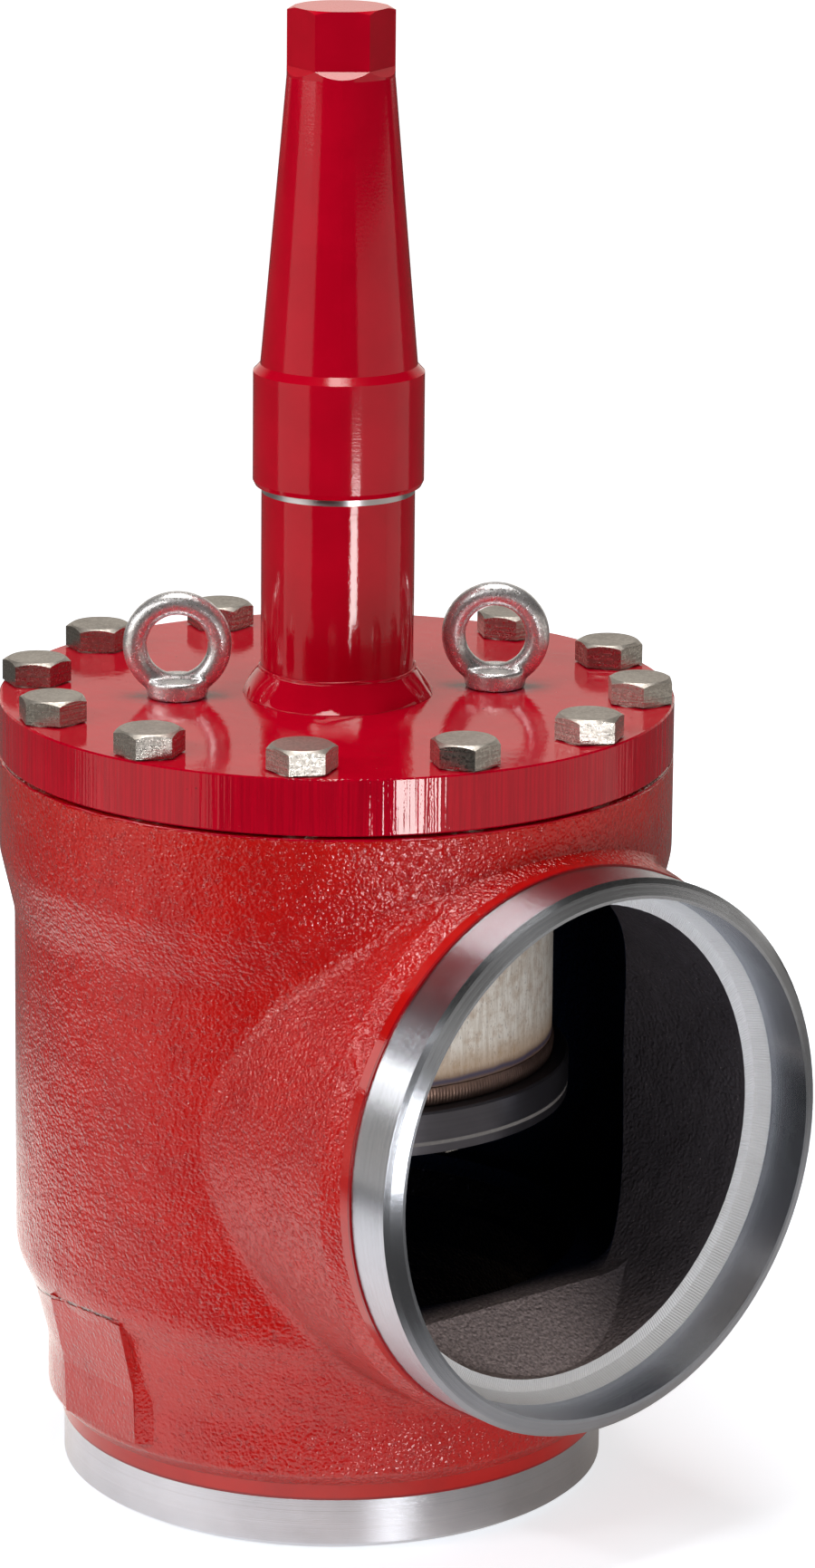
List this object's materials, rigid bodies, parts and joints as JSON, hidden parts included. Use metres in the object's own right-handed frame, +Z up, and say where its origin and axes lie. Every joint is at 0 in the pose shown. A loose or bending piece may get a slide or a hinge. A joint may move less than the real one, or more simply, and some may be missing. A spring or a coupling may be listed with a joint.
{
  "type": "angle shut-off valve",
  "caption": "Angle shut-off valve with butt-weld inlet below and outlet at the side, bolted cover, lifting eyes and a tall seal cap over the spindle.",
  "frame": {"origin": "centre of the inlet's weld end face", "axes": "+Z up the spindle, +X out of the outlet"},
  "size_m": [0.379, 0.336, 0.7414],
  "materials": {
    "casting_paint": "glossy red enamel over rough steel casting, weld ends bare turned steel",
    "cover_paint": "glossy red enamel over a turned plate",
    "tube_paint": "glossy red enamel over tube",
    "cap_paint": "glossy red enamel over turned steel",
    "gasket": "dark fibre gasket",
    "bolt_steel": "plain stainless bolt, forged and lightly brushed",
    "forged_eye": "forged eye, tumbled and zinc bright",
    "turned_steel": "bare turned steel",
    "seal_metal": "soft metal seal ring",
    "packing": "pale packing ring",
    "disc_steel": "dark turned steel",
    "plug_seal": "grey seal ring",
    "sleeve_stainless": "pickled stainless tube",
    "weld_tint": "weld with brown heat tint",
    "small_bolt": "bright screw",
    "spindle_stainless": "ground stainless spindle"
  },
  "bodies": {
    "valve": {"body": "casting_paint", "cover": "cover_paint", "cover_gasket": "gasket", "cover_bolt_01": "bolt_steel", "cover_bolt_02": "bolt_steel", "cover_bolt_03": "bolt_steel", "cover_bolt_04": "bolt_steel", "cover_bolt_05": "bolt_steel", "cover_bolt_06": "bolt_steel", "cover_bolt_07": "bolt_steel", "cover_bolt_08": "bolt_steel", "cover_bolt_09": "bolt_steel", "cover_bolt_10": "bolt_steel", "cover_bolt_11": "bolt_steel", "cover_bolt_12": "bolt_steel", "lifting_eye_right": "forged_eye", "lifting_eye_left": "forged_eye", "neck_tube": "tube_paint", "neck_weld": "tube_paint", "neck_head": "turned_steel", "gland_nut": "turned_steel", "packing_ring": "packing", "cap_seal": "seal_metal"},
    "plug": {"plug_disc": "disc_steel", "plug_hub": "disc_steel", "plug_seal": "plug_seal", "plug_retainer": "disc_steel", "plug_sleeve": "sleeve_stainless", "sleeve_weld": "weld_tint", "retainer_bolt_1": "small_bolt", "retainer_bolt_2": "small_bolt", "retainer_bolt_3": "small_bolt", "retainer_bolt_4": "small_bolt", "retainer_bolt_5": "small_bolt", "retainer_bolt_6": "small_bolt", "retainer_bolt_7": "small_bolt", "retainer_bolt_8": "small_bolt", "spindle": "spindle_stainless"},
    "cap": {"cap": "cap_paint"}
  },
  "joints": [
    {"name": "plug_lift", "type": "slide", "parent": "valve", "child": "plug", "axis": [0, 0, 1], "range_m": [-0.087, 0]},
    {"name": "cap_lift", "type": "slide", "parent": "valve", "child": "cap", "axis": [0, 0, 1], "range_m": [0, 0.24]}
  ]
}
